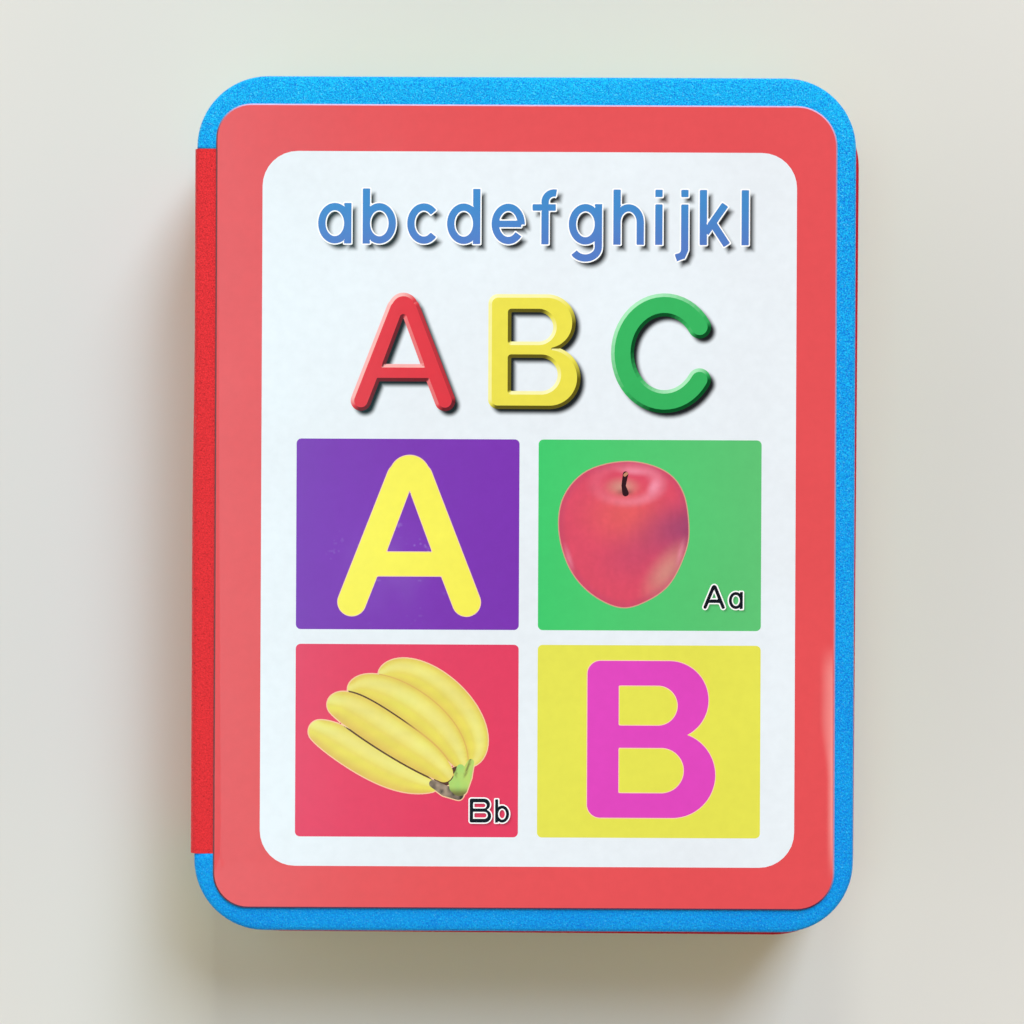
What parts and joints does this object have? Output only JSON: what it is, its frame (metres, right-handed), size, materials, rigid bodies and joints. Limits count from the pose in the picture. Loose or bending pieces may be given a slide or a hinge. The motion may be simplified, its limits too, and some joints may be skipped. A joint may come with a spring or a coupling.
{
  "type": "foam alphabet book",
  "caption": "Closed children's book of thick foam leaves with round corners, a printed label on each face and a thin foam strip wrapped round the spine; both covers open flat.",
  "frame": {"origin": "middle of the closed book's footprint, on the surface that the back cover lies on", "axes": "+Z out of the front cover, +Y towards the book's head, spine along the -X side"},
  "size_m": [0.1368, 0.1764, 0.0408],
  "materials": {
    "cover_foam": "matte",
    "inner_leaf_foam": "matte",
    "binding_strip": "matte",
    "printed_label": "satin"
  },
  "bodies": {
    "page_block": {"pages": "inner_leaf_foam", "spine_strip": "binding_strip"},
    "front_cover": {"front_cover_board": "cover_foam", "front_cover_label": "printed_label", "front_cover_inner_label": "printed_label"},
    "back_cover": {"back_cover_board": "cover_foam", "back_cover_label": "printed_label", "back_cover_inner_label": "printed_label"}
  },
  "joints": [
    {"name": "front_cover_hinge", "type": "hinge", "parent": "page_block", "child": "front_cover", "pos_m": [-0.06835, 0.0003, 0.0357], "axis": [0, -1, 0], "range_deg": [0, 175], "deforming": ["spine_strip"]},
    {"name": "back_cover_hinge", "type": "hinge", "parent": "page_block", "child": "back_cover", "pos_m": [-0.06835, 0.0003, 0.0051], "axis": [0, 1, 0], "range_deg": [0, 175], "deforming": ["spine_strip"]}
  ]
}
